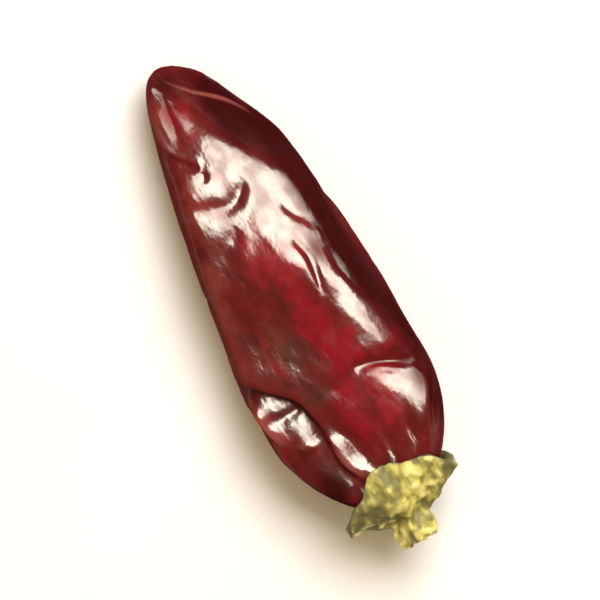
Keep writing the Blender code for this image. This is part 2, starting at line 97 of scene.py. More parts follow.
# Folds as points (along, across) seen from above or from below. steep narrows the side to the left of
# the line, and a fold of depth below 0 is a raised rib.
podFolds = {
    "above": (
        {"through": ((2.2, 3.2), (5.5, 4.1), (9.4, 4.3)), "wide": 0.6, "deep": 0.5, "steep": 2.2},
        {"through": ((1.6, 1.9), (4.2, 2.9), (7.2, 3.8)), "wide": 0.9, "deep": -0.3, "steep": 1},
        {"through": ((3.2, 1.4), (6.0, 2.1), (9.2, 3.2)), "wide": 1.6, "deep": 0.4, "steep": 0.8},
        {"through": ((14.0, 8.0), (11.4, 7.5), (8.4, 6.6)), "wide": 1.0, "deep": -0.45, "steep": 0.7},
        {"through": ((8.4, 6.2), (7.6, 5.4), (6.8, 5.0)), "wide": 0.7, "deep": -0.35, "steep": 0.8},
        {"through": ((14.4, 7.6), (12.6, 6.5), (10.6, 5.1), (8.0, 4.2)),
         "wide": 1.6, "deep": 1.3, "steep": 0.45},
        {"through": ((13.6, 6.2), (13.3, 8.0)), "wide": 1.3, "deep": 0.3, "steep": 1},
        {"through": ((11.0, 7.4), (10.6, 6.3), (10.3, 5.2)), "wide": 0.5, "deep": 0.3, "steep": 1},
        {"through": ((10.4, 2.6), (10.6, 0.3), (10.6, -1.5), (11.1, -2.9)),
         "wide": 1.4, "deep": 0.15, "steep": 0.7},
        {"through": ((11.2, -1.6), (11.0, -3.2), (10.2, -5.1), (8.2, -6.9)),
         "wide": 0.9, "deep": 0.5, "steep": 0.7},
        {"through": ((9.6, -3.2), (8.6, -4.2), (8.2, -5.2)), "wide": 0.7, "deep": 0.14, "steep": 1},
        {"through": ((8.4, -6.1), (6.4, -5.8), (4.2, -4.7)), "wide": 0.45, "deep": -0.2, "steep": 1},
        {"through": ((3.2, -4.8), (5.2, -6.2), (7.6, -7.2)), "wide": 0.7, "deep": 0.4, "steep": 1},
        {"through": ((1.6, -0.4), (5.4, -0.9)), "wide": 0.8, "deep": 0.22, "steep": 1},
        {"through": ((1.5, -2.8), (5.0, -3.2)), "wide": 0.7, "deep": 0.3, "steep": 1},
        {"through": ((23.6, -2.7), (21.6, -3.3), (19.4, -3.2), (17.4, -2.6)),
         "wide": 0.7, "deep": 0.22, "steep": 1},
        {"through": ((21.4, -5.5), (19.2, -5.5), (17.2, -5.7), (15.4, -6.3)),
         "wide": 0.8, "deep": 0.26, "steep": 2.6},
        {"through": ((23.4, -6.2), (25.2, -4.6), (28.4, -4.0)), "wide": 1.3, "deep": 0.2, "steep": 0.8},
        {"through": ((22.0, 4.8), (25.5, 2.6), (26.6, 0.2)), "wide": 1.4, "deep": 0.15, "steep": 0.8},
        {"through": ((30.2, -2.2), (29.3, -1.6), (28.5, -0.1), (29.1, 2.0), (30.8, 3.3)),
         "wide": 0.9, "deep": 0.2, "steep": 0.8},
        {"through": ((32.4, 0.6), (31.4, 1.3)), "wide": 0.6, "deep": 0.18, "steep": 1},
        {"through": ((35.0, 3.0), (34.0, 2.0), (32.7, 0.6)), "wide": 0.7, "deep": 0.35, "steep": 0.8},
        {"through": ((40.8, 0.0), (38.1, 0.7), (35.4, 1.2)), "wide": 0.6, "deep": 0.25, "steep": 0.9},
        {"through": ((40.6, 1.1), (37.9, 2.0), (35.3, 2.3), (33.2, 0.6)),
         "wide": 0.45, "deep": -0.15, "steep": 1},
        {"through": ((41.8, -0.5), (39.1, -2.7), (37.0, -4.7), (34.4, -6.1)),
         "wide": 0.45, "deep": -0.35, "steep": 1},
        {"through": ((41.5, -1.9), (39.4, -3.6), (37.4, -5.2), (34.8, -6.5)),
         "wide": 0.6, "deep": 0.1, "steep": 1},
    ),
    "below": (
        {"through": ((2.0, 3.0), (8, 4.9), (15, 5.3), (23, 4.2), (30, 2.4)),
         "wide": 1.2, "deep": 0.9, "steep": 0.7},
        {"through": ((2.5, -3.0), (8, -5.0), (14, -5.9), (20, -6.2)), "wide": 1.1, "deep": 0.8, "steep": 0.7},
        {"through": ((23, -5.6), (30, -5.6), (36, -4.0), (40.5, -1.8)),
         "wide": 1.1, "deep": 0.8, "steep": 0.7},
        {"through": ((33.0, -1.2), (37, -0.2), (41.4, -0.6)), "wide": 1.0, "deep": 0.6, "steep": 1},
        {"through": ((1.2, 0.2), (4, 0.8), (6.5, 0.3)), "wide": 1.0, "deep": 0.5, "steep": 1},
    ),
    "stray": 0.45,           # how far folds stray from their lines, and over what length
    "strayLength": 3.0,
    "reach": 3,              # how many times its width from its line a fold still shows
    "lip": 0.35,             # how high the lips beside a fold stand
    "deepens": 0.6,          # how slowly a fold deepens from its ends
    "endShare": 0.02,        # the share of its length at each end where it stays at its least
    "fadeIn": (0.72, 2.52),  # the half widths of the pod between which folds fade in
    "stepsBetween": 6,       # straight steps from one point of a fold to the next
    # short folds strewn over both flanks: bands and slant are degrees, and pairs are ranges to draw from
    "small": {
        "seed": 11,
        "count": 30,
        "bands": ((80, 150), (214, 282)),
        "place": (2, 38),
        "length": (3.0, 8.0),
        "slant": 24,
        "bow": 0.15,
        "deep": (0.2, 0.5),
        "wide": (0.6, 1.0),
        "steep": (0.5, 1.0),
        "leastGirth": 2.0,
    },
}
noiseApart = Vector((31.4, 17.2, 53.9))  # keeps the three noise readings of one point unlike


def shareOf(value, start, whole):
    # 0 up to the start, 1 from the whole on, and even between them
    return np.clip((value - start) / (whole - start), 0, 1)


def smoothKnots(knots, x):
    places, values = np.array(knots, float).T
    slopes = np.gradient(values, places)
    i = np.clip(np.searchsorted(places, x) - 1, 0, len(places) - 2)
    span = places[i + 1] - places[i]
    t = np.clip((x - places[i]) / span, 0, 1)
    ease = t * t * (3 - 2 * t)
    bow = span * t * (1 - t) * ((1 - t) * slopes[i] - t * slopes[i + 1])
    return values[i] * (1 - ease) + values[i + 1] * ease + bow


def podHalfWidth(x):
    p = podShape
    ahead = shareOf(x, p["widestAt"], p["tipAt"])
    behind = shareOf(x, p["widestAt"], p["baseAt"])
    tip = (1 - ahead ** p["tipBlunt"][0]) ** p["tipBlunt"][1]
    base = (1 - behind ** p["baseBlunt"][0]) ** p["baseBlunt"][1]
    return p["halfWidth"] * tip * base


def podMiddle(x):
    return np.stack([x, smoothKnots(podShape["bendAcross"], x), smoothKnots(podShape["bendUp"], x)], axis=-1)


def outwardFrom(around):
    return np.stack([0 * around, np.sin(around), np.cos(around)], axis=-1)


def plumpTube(x, around):
    p = podShape
    power = p["squareness"]
    wide = np.abs(np.sin(around))
    high = np.abs(np.cos(around)) * p["halfWidth"] / p["halfHeight"]
    reach = (wide ** power + high ** power) ** (-1 / power)
    return podMiddle(x) + (podHalfWidth(x) * reach)[..., None] * outwardFrom(around)


def drift(points, amount, length):
    # smooth noise in three directions, about as far as the amount
    moved = []
    for point in points.reshape(-1, 3):
        place = Vector(point) / length
        readings = (place, place.yzx + noiseApart, place.zxy - noiseApart)
        moved.append([noise.noise(reading) for reading in readings])
    return amount * np.array(moved).reshape(points.shape)


def bumps(points, lengths, shift):
    # plain noise from -1 to 1, with a length for each axis
    scaled = points.reshape(-1, 3) / np.array(lengths, float) + shift
    return np.array([noise.noise(Vector(place)) for place in scaled]).reshape(points.shape[:-1])


def pressPanels(points):
    waver = drift(points, podPanels["waver"], podPanels["waverLength"])
    for flat in podPanels["flats"]:
        lean, around = math.radians(flat["lean"]), math.radians(flat["round"])
        normal = math.cos(lean) * outwardFrom(np.array(around)) + np.array([math.sin(lean), 0, 0])
        proud = (points + waver - np.array(flat["at"])) @ normal
        pressed = flat["soft"] * np.logaddexp(0, proud / flat["soft"])
        if "until" in flat:
            pressed /= 1 + np.exp((points[..., 0] - flat["until"]) / podPanels["endSoft"])
        points = points - (pressed * (1 + flat["sink"]))[..., None] * normal
    return points


def placeOf(x, y, below):
    # the place along and angle round of a point seen at (x, y) on the flattened skin
    angles = np.radians(np.arange(-90, 91))
    if below:
        angles = math.pi - angles
    seen = pressPanels(plumpTube(np.full(angles.shape, float(x)), angles))
    drawnAlong = float(np.interp(y, seen[:, 1], seen[:, 0]))
    return 2 * x - drawnAlong, float(np.interp(y, seen[:, 1], angles))


def strewSmallFolds():
    s = podFolds["small"]
    draw = random.Random(s["seed"])
    folds = []
    for number in range(s["count"]):
        band = s["bands"][number % 2]
        x, around = draw.uniform(*s["place"]), math.radians(draw.uniform(*band))
        length, slant = draw.uniform(*s["length"]), math.radians(draw.gauss(0, s["slant"]))
        girth = max(float(podHalfWidth(x)), s["leastGirth"])
        half = (length / 2 * math.cos(slant), length / 2 * math.sin(slant) / girth)
        bow = draw.uniform(-s["bow"], s["bow"])
        line = ((x - half[0], around - half[1]), (x, around + bow), (x + half[0], around + half[1]))
        deep, wide = draw.uniform(*s["deep"]), draw.uniform(*s["wide"])
        folds.append({"line": line, "wide": wide, "deep": deep, "steep": draw.uniform(*s["steep"])})
    return folds


def gatherFolds():
    folds = strewSmallFolds()
    for group, below in ((podFolds["above"], False), (podFolds["below"], True)):
        for fold in group:
            folds.append(dict(fold, line=[placeOf(x, y, below) for x, y in fold["through"]]))
    return folds


def roundedLine(line):
    count = len(line)
    steps = np.linspace(0, count - 1, podFolds["stepsBetween"] * (count - 1) + 1)
    return np.stack([smoothKnots([(i, p[k]) for i, p in enumerate(line)], steps) for k in (0, 1)], axis=1)


def wayToLine(line, x, around):
    # how far points are to the left of a line on the skin, and the share of the line that they are past
    girth = np.maximum(podHalfWidth(x), podShape["thinnest"])
    nearest, along = np.full(x.shape, np.inf), np.zeros(x.shape)
    for k, (start, step) in enumerate(zip(line[:-1], np.diff(line, axis=0))):
        turn = np.mod(around - start[1] + math.pi, 2 * math.pi) - math.pi
        runX, runRound = step[0], girth * step[1]
        share = ((x - start[0]) * runX + girth * turn * runRound) / (runX ** 2 + runRound ** 2 + tiny)
        share = np.clip(share, 0, 1)
        offX, offRound = x - start[0] - share * runX, girth * turn - share * runRound
        side = np.where(runX * offRound > runRound * offX, 1, -1)
        away = np.hypot(offX, offRound)
        closer = away < np.abs(nearest)
        along = np.where(closer, (k + share) / (len(line) - 1), along)
        nearest = np.where(closer, side * away, nearest)
    return nearest, along


def pressFolds(points, x, around):
    # sinks each fold and also returns how deep every point lies in one
    f = podFolds
    stray = drift(points, f["stray"], f["strayLength"])
    girth = np.maximum(podHalfWidth(x), f["small"]["leastGirth"])
    x, around = x + stray[..., 0], around + stray[..., 1] / girth
    ends = shareOf(podHalfWidth(x), *f["fadeIn"])
    inward = podMiddle(x) - points
    inward /= np.maximum(np.linalg.norm(inward, axis=-1, keepdims=True), tiny)
    depth = np.zeros(x.shape)
    for fold in gatherFolds():
        line = roundedLine(fold["line"])
        reach = f["reach"] * fold["wide"]
        near = (x > line[:, 0].min() - reach) & (x < line[:, 0].max() + reach)
        away, along = wayToLine(line, x[near], around[near])
        q = away / (fold["wide"] * np.where(away > 0, fold["steep"], 1))
        fade = np.sin(math.pi * np.clip(along, f["endShare"], 1 - f["endShare"])) ** f["deepens"]
        valley = fold["deep"] * fade * ends[near] * (1 - f["lip"] * q * q) * np.exp(-q * q)
        points[near] += valley[:, None] * inward[near]
        depth[near] += valley
    return points, depth


def drySkin(x, around, folded=True):
    x, around = np.broadcast_arrays(np.asarray(x, float), np.asarray(around, float))
    points, depth = pressPanels(plumpTube(x, around)), np.zeros(x.shape)
    if folded:
        points, depth = pressFolds(points, x, around)
    points[..., 2] = np.maximum(points[..., 2], 0)
    return points, depth


def skinNormal(x, around, step=0.02):
    # the direction out of the skin before it folds
    girth = np.maximum(podHalfWidth(x), podShape["thinnest"])
    along = drySkin(x + step, around, False)[0] - drySkin(x - step, around, False)[0]
    across = drySkin(x, around + step / girth, False)[0] - drySkin(x, around - step / girth, False)[0]
    normal = np.cross(along, across)
    return normal / np.linalg.norm(normal, axis=-1, keepdims=True)


def gridNormals(rings):
    # outward normals of a closed grid of rings
    along = np.gradient(rings, axis=0)
    across = np.roll(rings, -1, axis=1) - np.roll(rings, 1, axis=1)
    normal = np.cross(along, across)
    return normal / np.maximum(np.linalg.norm(normal, axis=-1, keepdims=True), tiny)


def closeSkin(start, rings, end):
    # vertices and faces of rings of points between a first and a last point
    count, sides = rings.shape[:2]
    vertices = np.concatenate([[start], rings.reshape(-1, 3), [end]])
    last, low = len(vertices) - 1, 1 + (count - 1) * sides
    faces = [(0, 1 + j, 1 + (j + 1) % sides) for j in range(sides)]
    for i in range(count - 1):
        a, b = 1 + i * sides, 1 + (i + 1) * sides
        faces += [(a + j, b + j, b + (j + 1) % sides, a + (j + 1) % sides) for j in range(sides)]
    faces += [(last, low + (j + 1) % sides, low + j) for j in range(sides)]
    return vertices, faces


# Fine relief of the skin: (length along, length across, height) of each layer of wrinkles
skinRelief = {
    "layers": ((4.5, 2.6, 0.075), (2.2, 1.3, 0.03), (1.2, 0.8, 0.012)),
    "layerShift": 7.3,              # how far apart the noise of two layers is read
    "pinch": (2.8, 0.7, 0.05),      # tight wrinkles where the skin gathers
    "pinchShift": 41.0,
    "pinchAtTip": (36.5, 39.5),     # the places along between which they grow to the full
    "pinchAtBase": (3.5, 1.5),
    "pinchInFolds": 0.2,
    "deepFold": 0.35,               # how deep a fold gathers them fully
}


def wrinkleSkin(rings, depth):
    r = skinRelief
    normals = gridNormals(rings)
    height = np.zeros(depth.shape)
    for number, (along, across, high) in enumerate(r["layers"]):
        height += high * bumps(rings, (along, across, across), r["layerShift"] * number)
    along, across, high = r["pinch"]
    tight = 1 - 2 * np.abs(bumps(rings, (along, across, across), r["pinchShift"]))
    x = rings[..., 0]
    gathered = shareOf(x, *r["pinchAtTip"]) + shareOf(x, *r["pinchAtBase"])
    gathered += r["pinchInFolds"] * shareOf(np.abs(depth), 0, r["deepFold"])
    height += high * tight * np.clip(gathered, 0, 1)
    rings = rings + height[..., None] * normals
    rings[..., 2] = np.maximum(rings[..., 2], 0)
    return rings


def toMesh(name, vertices, faces):
    mesh = bpy.data.meshes.new(name)
    mesh.from_pydata((vertices * mm).tolist(), [], faces)
    mesh.shade_smooth()
    made = bpy.data.objects.new(name, mesh)
    bpy.context.scene.collection.objects.link(made)
    return made


def storeOnMesh(piece, name, values):
    # one number for each vertex, for the material to read
    layer = piece.data.attributes.new(name, "FLOAT", "POINT")
    layer.data.foreach_set("value", np.asarray(values, np.float32))


# Patches on the top of the pod: (along, across, half length, half width, strength). A rubbed one has lost
# its wax, and a rubbed one of strength below 0 has kept all of it.
skinPatches = {
    "crimson": ((13.5, -1.0, 4.5, 2.2, 1.0), (7.0, 0.8, 2.6, 1.8, 0.9), (21.0, -1.0, 5.0, 1.6, 0.7),
                (4.0, -2.5, 2.0, 2.0, 0.5), (12.0, 3.6, 2.0, 1.0, 0.5)),
    "olive": ((15.0, 2.6, 3.2, 1.2, 1.0), (10.6, 2.4, 0.9, 1.6, 0.6), (3.0, 4.8, 2.2, 1.2, 0.5)),
    # brown is painted bounce light: the +Y flank is made lighter and browner
    "brown": ((25.0, 5.2, 6.0, 1.7, 0.7), (17.0, 6.8, 5.0, 1.6, 0.65), (31.0, 3.8, 3.0, 1.2, 0.45),
              (38.0, 2.6, 3.0, 1.4, 0.9)),
    # painted shade on the -Y flank, on facets by the tip and on the skin beside the calyx
    "paintedShade": ((36.6, -4.0, 5.0, 1.8, 1.2), (28.0, -6.4, 6.0, 1.6, 1.0), (19.0, -6.2, 5.0, 1.3, 1.0),
             (12.0, -7.2, 5.0, 1.2, 0.8), (5.0, -6.2, 4.0, 1.3, 0.7), (40.5, -0.5, 1.6, 1.6, 0.7),
             (3.0, 5.2, 2.6, 1.5, 1.0), (33.0, -6.6, 2.5, 1.2, 0.9)),
    "rubbed": ((40.2, -3.4, 1.5, 0.9, 1.3), (37.8, -4.8, 1.5, 0.9, 1.3), (35.4, -6.0, 1.6, 0.9, 1.3),
               (21.4, -4.3, 1.5, 0.7, 0.8), (7.6, -6.2, 1.4, 0.7, 0.6), (10.3, -3.0, 0.5, 1.2, 0.9),
               (9.4, -5.4, 0.5, 1.4, 0.9), (13.5, -0.5, 3.5, 1.8, 0.55), (9.8, 0.6, 1.0, 0.8, 0.9),
               (38.0, 0.3, 2.2, 1.3, 0.85), (12.5, 6.8, 3.5, 1.8, -1.0), (5.0, 4.8, 2.5, 1.2, -1.0)),
}
patchesFrom = (1.5, 3.5)  # the heights between which patches fade in, as they lie on the upper side


def patchAmount(points, patches):
    amount = np.zeros(points.shape[:-1])
    for x, y, halfLong, halfWide, strength in patches:
        away = ((points[..., 0] - x) / halfLong) ** 2 + ((points[..., 1] - y) / halfWide) ** 2
        amount += strength * np.exp(-away)
    return amount * shareOf(points[..., 2], *patchesFrom)


def seatOnSolid(vertices):
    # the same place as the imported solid, whose own origin is under the middle of the whole pepper
    low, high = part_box("pod")
    middle = (vertices.min(axis=0) + vertices.max(axis=0)) / 2
    return np.array([(low.x + high.x) / 2 / mm - middle[0], (low.y + high.y) / 2 / mm - middle[1], 0])


def makePod():
    p = podShape
    around = np.linspace(0, 2 * math.pi, p["sidesRound"], endpoint=False)
    even = np.linspace(0, 1, p["ringsAlong"] + 2)
    way = p["crowding"] * (1 - np.cos(math.pi * even)) / 2 + (1 - p["crowding"]) * even
    x = p["baseAt"] + (p["tipAt"] - p["baseAt"]) * way
    rings, depth = drySkin(x[:, None], around[None, :])
    start, end = rings[0].mean(axis=0), rings[-1].mean(axis=0)
    rings, depth = wrinkleSkin(rings[1:-1], depth[1:-1]), depth[1:-1]
    vertices, faces = closeSkin(start, rings, end)
    seat = seatOnSolid(vertices)
    piece = toMesh("podSkin", vertices + seat, faces)
    # the patches for the material, among them painted bounce light and painted shade
    for name, patches in skinPatches.items():
        layer = patchAmount(rings, patches).ravel()
        storeOnMesh(piece, name, [layer[0], *layer, layer[-1]])
    # how deep each point lies in a fold, which the material uses for painted shade in creases and a painted
    # highlight on raised ribs
    storeOnMesh(piece, "fold", [0, *depth.ravel(), 0])
    waxed = shareOf(gridNormals(rings)[..., 2], *skinFinish["waxFrom"])
    storeOnMesh(piece, "waxed", [0, *waxed.ravel(), 0])
    print("pod skin", len(vertices), "points")
    return piece, seat


# Calyx rim: degrees round the pod, how far it reaches along, and how far it stands off the pod, 0 to 1
calyxShape = {
    "rim": ((14, 2.9, 0.0), (52, 1.6, 0.25), (88, 1.1, 1.0), (125, 0.9, 0.3), (162, 1.9, 0.25),
            (198, 1.0, 0.1), (232, 1.8, 0.3), (266, 0.9, 0.35), (294, 1.0, 0.6), (318, 1.9, 0.12),
            (345, 2.1, 0.05)),
    "corners": (14, 88, 162, 232, 296),
    "cornerWidth": 13,
    "radius": 5.8,
    "foot": -0.45,
    "capStart": 0.28,
    "capRun": 1.6,                  # how quickly the cap runs out to its rim
    "standsFrom": 0.35,             # the share of the way where it starts to stand off
    "standsBend": 1.15,
    "liningStart": 0.12,
    "wall": 0.7,
    "wallShare": (1.1, 0.9),        # of the wall, at the pod's base and at the rim
    "ribShare": (1.0, 0.45),        # what a corner's rib adds at both
    "gap": 0.25,
    "stubHollow": -4.3,
    "stub": ((-4.3, 0.6), (-4.65, 1.05), (-4.55, 1.45), (-4.2, 1.65), (-3.8, 1.72), (-3.35, 1.78)),
    "stubGroove": 0.9,              # of the radius between ribs, and what a rib adds
    "stubRib": 0.2,
    "flareAt": (0.25, 0.5, 0.75),
    "neckPull": 0.75,               # how far the flare keeps to the neck, and then to the cap
    "capPull": 0.8,
    "sides": 240,
    "outerRings": 80,
    "capRings": 9,
    "rag": ((0.28, 1.7, 3.1), (0.14, 0.6, 9.7)),            # reach, length and shift of the rim's noise
    "ragRadius": 6,
    # painted light: the cap is coloured palest round this side, which faces the lamps
    "paintedLightAt": -8,                                         # degrees round, and how far that reaches
    "paintedLightReach": 56,
    "paleStub": (-1.6, -2.8),                               # the stub turns pale between these places
    "crinkle": ((1.7, 0.2), (0.8, 0.19), (0.42, 0.06)),     # (length, height)
    "crinkleShift": 11.0,
    "fibre": (3.5, 0.55, 0.07),                             # length along, spacing, height
    "fibreShift": 5.0,
    "fibreOnCap": 0.4,                                      # the share of that height on the cap
    "fibreOnStub": (-2.0, -3.2),                            # between these places it grows by 1
    "torn": ((9, 0.5, 0.5), 0.35),                          # lengths and height at the broken end
    "tornShift": 2.0,
    "tornFrom": (-4.1, -4.6),                               # where it begins and is whole
}


def rimValue(around, column):
    knots = [(row[0] + turn, row[column]) for turn in (-360, 0, 360) for row in calyxShape["rim"]]
    return smoothKnots(knots, np.degrees(around) % 360)


def degreesFrom(around, centre):
    return np.mod(np.degrees(around) - centre + 180, 360) - 180


def cornerRib(around):
    # 1 on the ribs that run to the corners, and 0 between them
    rib = 0 * around
    for corner in calyxShape["corners"]:
        rib = rib + np.exp(-((degreesFrom(around, corner) / calyxShape["cornerWidth"]) ** 2))
    return rib


def raggedRim(circle):
    rag = 0
    for reach, length, shift in calyxShape["rag"]:
        rag = rag + reach * bumps(calyxShape["ragRadius"] * circle, (length,) * 3, shift)
    return rag


def capLayer(around, way, thick, rag):
    # a ring of the cap at a share of the way to its rim, that thick outside the gap to the pod
    c = calyxShape
    reach, stand = rimValue(around, 1) + rag, rimValue(around, 2)
    x = podShape["baseAt"] + (reach - podShape["baseAt"]) * way ** c["capRun"]
    lying = drySkin(x, around, False)[0] + (c["gap"] + thick)[:, None] * skinNormal(x, around)
    foot = podMiddle(np.array(c["foot"]))
    standing = foot - np.array([1, 0, 0]) * thick[:, None] + c["radius"] * outwardFrom(around)
    away = stand * shareOf(way, c["standsFrom"], 1) ** c["standsBend"]
    return lying + away[:, None] * (standing - lying)


def stubRings(circle, rib):
    c = calyxShape
    ribbed = c["stubGroove"] + c["stubRib"] * rib
    return [podMiddle(np.array(x)) + (radius * ribbed)[:, None] * circle for x, radius in c["stub"]]


def capRings(around, rib, rag):
    c = calyxShape
    rings = []
    for way in np.linspace(c["capStart"], 1, c["capRings"]):
        thick = np.interp(way, (0, 1), c["wallShare"]) + rib * np.interp(way, (0, 1), c["ribShare"])
        rings.append(capLayer(around, way, c["wall"] * thick, rag))
    return rings


def flareRings(neck, cap):
    # the curve from the neck of the stub out to the cap
    c = calyxShape
    belowNeck = neck + np.array([c["neckPull"], 0, 0])
    aboveCap = cap[0] - c["capPull"] * (cap[1] - cap[0])
    rings = []
    for t in c["flareAt"]:
        flare = (1 - t) ** 3 * neck + 3 * t * (1 - t) ** 2 * belowNeck
        rings.append(flare + 3 * t * t * (1 - t) * aboveCap + t ** 3 * cap[0])
    return rings


def denserProfile(rings, count):
    # more rings along the same smooth profile
    rings = np.array(rings)
    steps = np.linspace(0, len(rings) - 1, count)
    i = np.clip(steps.astype(int), 0, len(rings) - 2)
    t = (steps - i)[:, None, None]
    slopes = np.gradient(rings, axis=0)
    ease = t * t * (3 - 2 * t)
    bow = t * (1 - t) * ((1 - t) * slopes[i] - t * slopes[i + 1])
    return rings[i] * (1 - ease) + rings[i + 1] * ease + bow


def roughenCalyx(outer):
    # crinkles, fibres and the torn end; also returns how far every point was raised
    c = calyxShape
    height = np.zeros(outer.shape[:2])
    for number, (length, high) in enumerate(c["crinkle"]):
        height += high * bumps(outer, (length,) * 3, c["crinkleShift"] * number)
    long, spacing, high = c["fibre"]
    stringy = c["fibreOnCap"] + shareOf(outer[..., 0], *c["fibreOnStub"])
    height += high * stringy * bumps(outer, (long, spacing, spacing), c["fibreShift"])
    torn = shareOf(outer[..., 0], *c["tornFrom"])
    rough = outer + height[..., None] * gridNormals(outer)
    lengths, high = c["torn"]
    rough[..., 0] += high * torn * bumps(rough, lengths, c["tornShift"])
    return rough, height


def paleAndPaintedLightShare(around, outer):
    # painted light, palest on the side that faces the lamps, and the stub's own pale colour
    c = calyxShape
    side = np.exp(-((degreesFrom(around, c["paintedLightAt"]) / c["paintedLightReach"]) ** 2))
    return np.maximum(side[None, :], shareOf(outer[..., 0], *c["paleStub"]))


def makeCalyx(seat):
    c = calyxShape
    around = np.linspace(0, 2 * math.pi, c["sides"], endpoint=False)
    circle, rib = outwardFrom(around), cornerRib(around)
    rag = raggedRim(circle)
    stub, cap = stubRings(circle, rib), capRings(around, rib, rag)
    outer = denserProfile(stub + flareRings(stub[-1], cap) + cap, c["outerRings"])
    outer, height = roughenCalyx(outer)
    ways = np.linspace(1, c["liningStart"], c["capRings"])
    lining = np.array([capLayer(around, way, 0 * around, rag) for way in ways])
    start = podMiddle(np.array(c["stubHollow"]))
    end = podMiddle(np.array(podShape["baseAt"] - c["gap"]))
    vertices, faces = closeSkin(start, np.concatenate([outer, lining]), end)
    piece = toMesh("calyxCap", vertices + seat, faces)
    plain = np.zeros(lining.shape[:2]).ravel()
    # crinkle height, which the material uses for painted shade in grooves and a painted highlight on ridges
    storeOnMesh(piece, "ridge", [0, *height.ravel(), *plain, 0])
    # painted light on the side of the cap that faces the lamps, and the stub's own pale colour
    storeOnMesh(piece, "paleAndPaintedLight", [1, *paleAndPaintedLightShare(around, outer).ravel(), *plain, 0])
    print("calyx", len(vertices), "points")
    return piece


def addNode(tree, kind, settings=None, **inputs):
    made = tree.nodes.new(kind)
    for name, value in (settings or {}).items():
        setattr(made, name, value)
    for name, value in inputs.items():
        socket = made.inputs[name.replace("_", " ")]
        if isinstance(value, bpy.types.NodeSocket):
            tree.links.new(value, socket)
        else:
            socket.default_value = value
    return made


def mixColours(tree, share, first, second):
    # sockets 0, 6 and 7 of the node take the share and the two colours
    made = tree.nodes.new("ShaderNodeMix")
    made.data_type = "RGBA"
    for index, value in ((0, share), (6, first), (7, second)):
        if isinstance(value, bpy.types.NodeSocket):
            tree.links.new(value, made.inputs[index])
        else:
            made.inputs[index].default_value = value if index == 0 else (*value, 1)
    return made.outputs[2]


def readMesh(tree, name):
    return addNode(tree, "ShaderNodeAttribute", {"attribute_name": name}).outputs["Fac"]


def between(tree, value, low, high, outLow=0.0, outHigh=1.0):
    # eases from outLow at low to outHigh at high, and stays there
    smoothly = {"interpolation_type": "SMOOTHSTEP"}
    made = addNode(tree, "ShaderNodeMapRange", smoothly, Value=value, From_Min=low, From_Max=high,
                   To_Min=outLow, To_Max=outHigh)
    return made.outputs["Result"]


def sums(tree, how, first, second):
    made = tree.nodes.new("ShaderNodeMath")
    made.operation = how
    for index, value in enumerate((first, second)):
        if isinstance(value, bpy.types.NodeSocket):
            tree.links.new(value, made.inputs[index])
        else:
            made.inputs[index].default_value = value
    return made.outputs[0]


def grain(tree, length, detail, stretch=(1, 1, 1), roughness=0.5):
    # noise whose lumps are about that many millimetres long
    place = addNode(tree, "ShaderNodeTexCoord").outputs["Object"]
    scale = tuple(1 / (mm * length * s) for s in stretch)
    scaled = addNode(tree, "ShaderNodeMapping", Vector=place, Scale=scale).outputs["Vector"]
    made = addNode(tree, "ShaderNodeTexNoise", Vector=scaled, Scale=1.0, Detail=detail, Roughness=roughness)
    return made.outputs["Fac"]


def bumpOf(tree, height, strength, high):
    made = addNode(tree, "ShaderNodeBump", Height=height, Strength=strength, Distance=high * mm)
    return made.outputs["Normal"]


def newMaterial(name):
    made = bpy.data.materials.new(name)
    made.use_nodes = True
    return made, made.node_tree, made.node_tree.nodes["Principled BSDF"]


skinFinish = {
    "maroon": (0.12, 0.009, 0.009),
    "crimson": (0.23, 0.006, 0.014),
    "olive": (0.08, 0.02, 0.012),
    # the colour of the painted bounce light on the +Y flank
    "brown": (0.165, 0.036, 0.025),
    # the colour of the painted shade
    "paintedShade": (0.03, 0.0032, 0.0036),
    "creaseShadeAndFleck": (0.03, 0.003, 0.0035),
    # painted shade in creases, and also the colour of random dark flecks
    "pale": (0.22, 0.035, 0.028),
    "rib": (0.32, 0.085, 0.065),
    # the colour of the painted highlight along raised ribs
    "roughness": (0.3, 0.45),
    "shine": 0.0,                 # the coat alone is glossy
    "coat": 1.0,
    "coatWorn": (1.0, 0.5),       # what wear leaves of the coat, from none to the most
    "coatRoughness": 0.17,
    "coatAtFlanks": 0.05,
    "waxFrom": (0.45, 0.85),      # how far up the skin faces where the wax begins and is whole
    "glow": 0.08,
    "glowReach": (1.2, 0.12, 0.08),
    "bump": (0.55, 0.1),          # strength, height
    "poreShare": 0.2,
    "rubbedShare": 0.3,           # how much a rubbed patch adds to the wear
    "leastWax": 0.1,              # what is left on a rubbed or a dark patch
    # noises, each with its length, detail, stretch and roughness
    "mottle": (3.6, 4.0, (1.6, 1, 1), 0.62),
    "blotch": (1.7, 3.0, (1.4, 1, 1)),
    "fleck": (0.9, 3.0),
    "dulling": (2.6, 2.0),
    "worn": (1.8, 3.0),
    "pores": (0.35, 3.0),
    "ripple": (1.1, 2.0, (2.2, 1, 1)),
    # ranges of a noise or of a value on the mesh: from, to, and often what it gives at both
    "redMottle": (0.42, 0.66, -0.25, 0.75),
    "redRange": (0.1, 1.0),
    "dullMottle": (0.58, 0.8, 0.0, 0.6),
    "dullRange": (0.0, 1.1),
    # the brown on the +Y flank is painted bounce light, broken up by random mottle
    "brownMottle": (0.38, 0.6, -0.4, 0.15),
    "paintedFlankLightRange": (0.0, 1.0, 0.0, 0.9),
    "paleBlotch": (0.5, 0.75, 0.0, 0.4),
    "darkBlotch": (0.46, 0.3, 0.0, 0.4),
    "darkFleck": (0.52, 0.72, 0.0, 0.22),
    # painted shade on the shaded patches
    "paintedShadeRange": (0.0, 1.0, 0.0, 0.9),
    # painted shade in creases
    "creaseShadeRange": (0.08, 0.7, 0.0, 0.6),
    # painted highlight along raised ribs
    "ribHighlightRange": (-0.35, -0.06, 0.65, 0.0),
    "wornRange": (0.35, 0.7),
    "wearRange": (0.38, 0.66),
}


